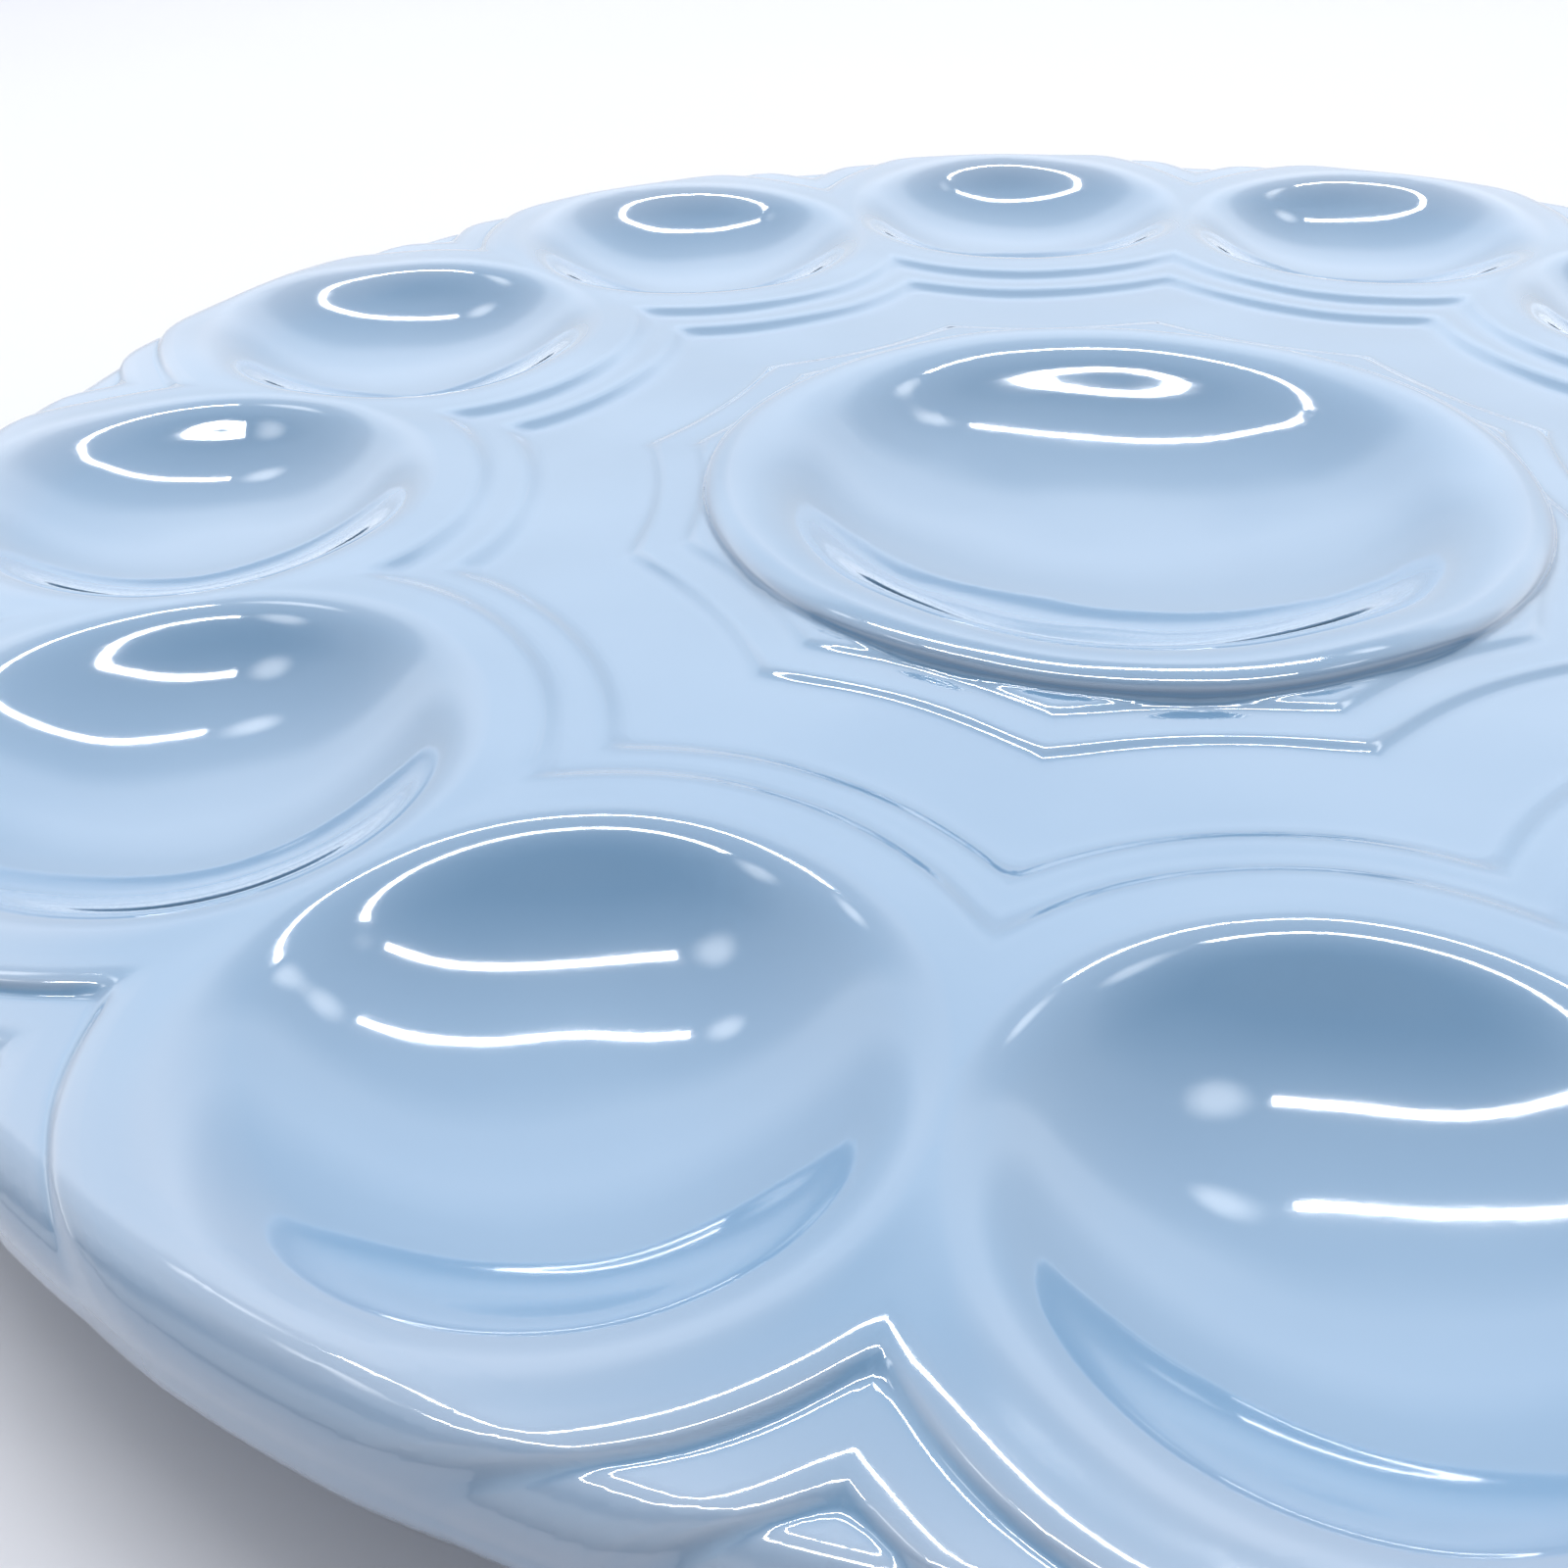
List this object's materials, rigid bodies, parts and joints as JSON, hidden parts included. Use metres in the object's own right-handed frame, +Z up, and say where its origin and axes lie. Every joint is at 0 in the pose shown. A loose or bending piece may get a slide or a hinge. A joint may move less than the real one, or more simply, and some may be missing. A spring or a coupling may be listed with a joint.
{
  "type": "egg serving plate",
  "caption": "Round glazed ceramic serving plate with egg wells around its rim, stepped scalloped relief and a beaded dip bowl in the middle.",
  "frame": {"origin": "centre of the foot ring, in the plane that the plate stands on", "axes": "+Z up, the plate's axis of symmetry; +Y towards the centre of egg well 0; wells are numbered anticlockwise from above"},
  "size_m": [0.2926, 0.2926, 0.0216],
  "materials": {
    "glaze": "glossy pale sky-blue glaze"
  },
  "bodies": {
    "root": {"tray": "glaze"}
  },
  "joints": []
}
